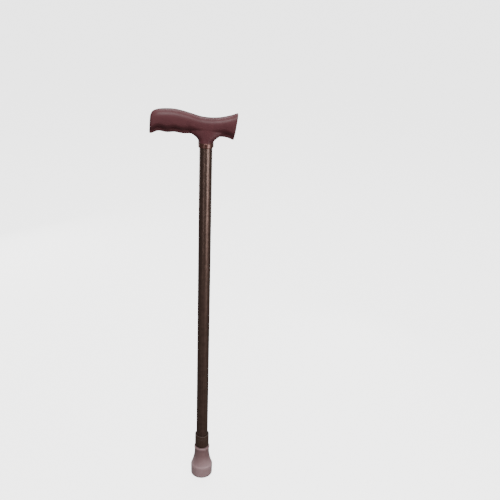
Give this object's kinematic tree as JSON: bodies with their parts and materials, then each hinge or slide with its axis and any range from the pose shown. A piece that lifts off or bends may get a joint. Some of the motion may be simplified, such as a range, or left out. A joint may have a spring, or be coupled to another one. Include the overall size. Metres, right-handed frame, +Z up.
{
  "type": "single point cane",
  "caption": "Height-adjustable walking cane: bronze telescoping tube, moulded maroon grip with finger rests, lock ring, snap button and a broad pale ferrule.",
  "frame": {"origin": "centre of the ferrule's sole, on the shaft's axis", "axes": "+Z up the shaft, +X the way the handle's nose points, +Y the side of the height holes and the snap button"},
  "size_m": [0.1463, 0.0424, 0.7366],
  "materials": {
    "moulded_grip": "satin moulded, maroon",
    "anodised_tube": "bronze anodised, drawn",
    "bronze_trim": "gloss bronze brown",
    "brown_plastic": "gloss dark brown",
    "white_nylon": "natural nylon",
    "black_nylon": "satin black",
    "screw_steel": "zinc plated",
    "button_steel": "polished pressed steel",
    "spring_steel": "blued spring strip",
    "foot_rubber": "milky pinkish grey, satin",
    "washer_steel": "zinc plated"
  },
  "bodies": {
    "lower_shaft": {"lower_tube": "anodised_tube", "guide_plug": "black_nylon", "snap_spring": "spring_steel", "ferrule": "foot_rubber", "ferrule_washer": "washer_steel"},
    "upper_shaft": {"upper_tube": "anodised_tube", "handle": "moulded_grip", "handle_screw": "screw_steel", "neck_ring": "bronze_trim", "tube_plug": "white_nylon", "threaded_sleeve": "black_nylon"},
    "button": {"snap_button": "button_steel"},
    "bush": {"compression_bush": "white_nylon"},
    "nut": {"lock_ring": "brown_plastic"}
  },
  "joints": [
    {"name": "height_adjust", "type": "slide", "parent": "lower_shaft", "child": "upper_shaft", "axis": [0, 0, 1], "range_m": [0, 0.2286]},
    {"name": "button_press", "type": "slide", "parent": "lower_shaft", "child": "button", "axis": [0, -1, 0], "range_m": [0, 0.0034], "stiffness_N_per_m": 1500, "springref_m": -0.001, "deforming": ["snap_spring"]},
    {"name": "bush_travel", "type": "slide", "parent": "upper_shaft", "child": "bush", "axis": [0, 0, -1], "range_m": [0, 0.0015]},
    {"name": "lock_ring_turn", "type": "hinge", "parent": "bush", "child": "nut", "pos_m": [0, 0, 0.08], "axis": [0, 0, -1], "range_deg": [0, 360]}
  ],
  "couplings": [
    {"joint": "lock_ring_turn", "follows": "bush_travel", "rad_per_m": 4188}
  ]
}
